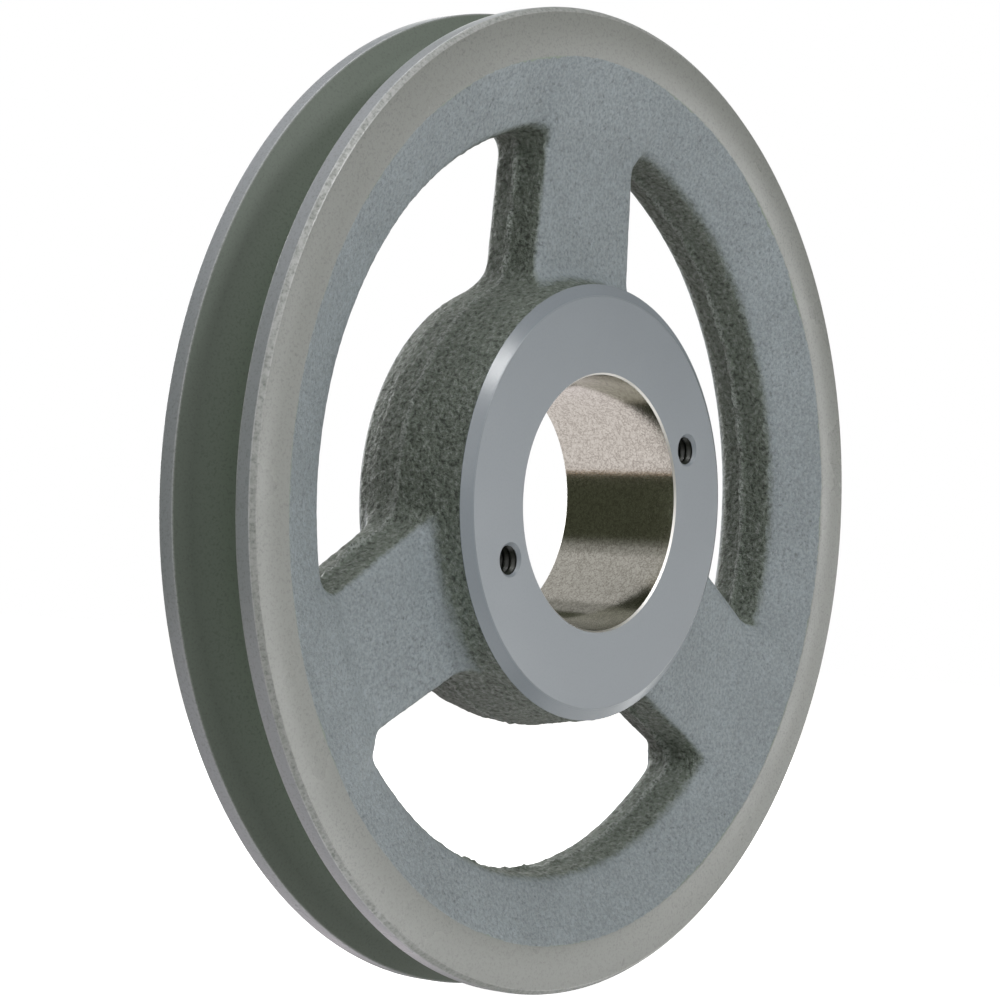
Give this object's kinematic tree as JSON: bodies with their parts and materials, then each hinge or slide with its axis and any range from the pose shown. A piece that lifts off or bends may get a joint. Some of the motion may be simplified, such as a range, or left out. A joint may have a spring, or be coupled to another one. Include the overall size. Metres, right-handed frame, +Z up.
{
  "type": "v-belt pulley",
  "caption": "V-belt sheave in painted cast iron: grooved rim, straight arms, and a hub with a tapered bore and tapped holes for a split-taper bushing.",
  "frame": {"origin": "on the pulley axis, halfway along the hub, which is the centre of the bounding box", "axes": "+Y along the pulley axis towards the rear, with the tapped hub face looking towards -Y; +Z up through the centre of the top arm; the pulley stands on its rim"},
  "size_m": [0.1588, 0.0222, 0.1588],
  "materials": {
    "cast_paint": "matt grey paint over rough sand-cast iron",
    "machined_paint": "satin grey paint over machined iron, with faint turning marks",
    "hub_paint": "satin blue-grey paint, machined face and rough cast side",
    "bare_bore": "bare machined iron, finely reamed"
  },
  "bodies": {
    "root": {"hub": "hub_paint", "arm_1": "cast_paint", "arm_2": "cast_paint", "arm_3": "cast_paint", "rim_ring": "cast_paint", "flange_front": "machined_paint", "flange_rear": "machined_paint"}
  },
  "joints": []
}
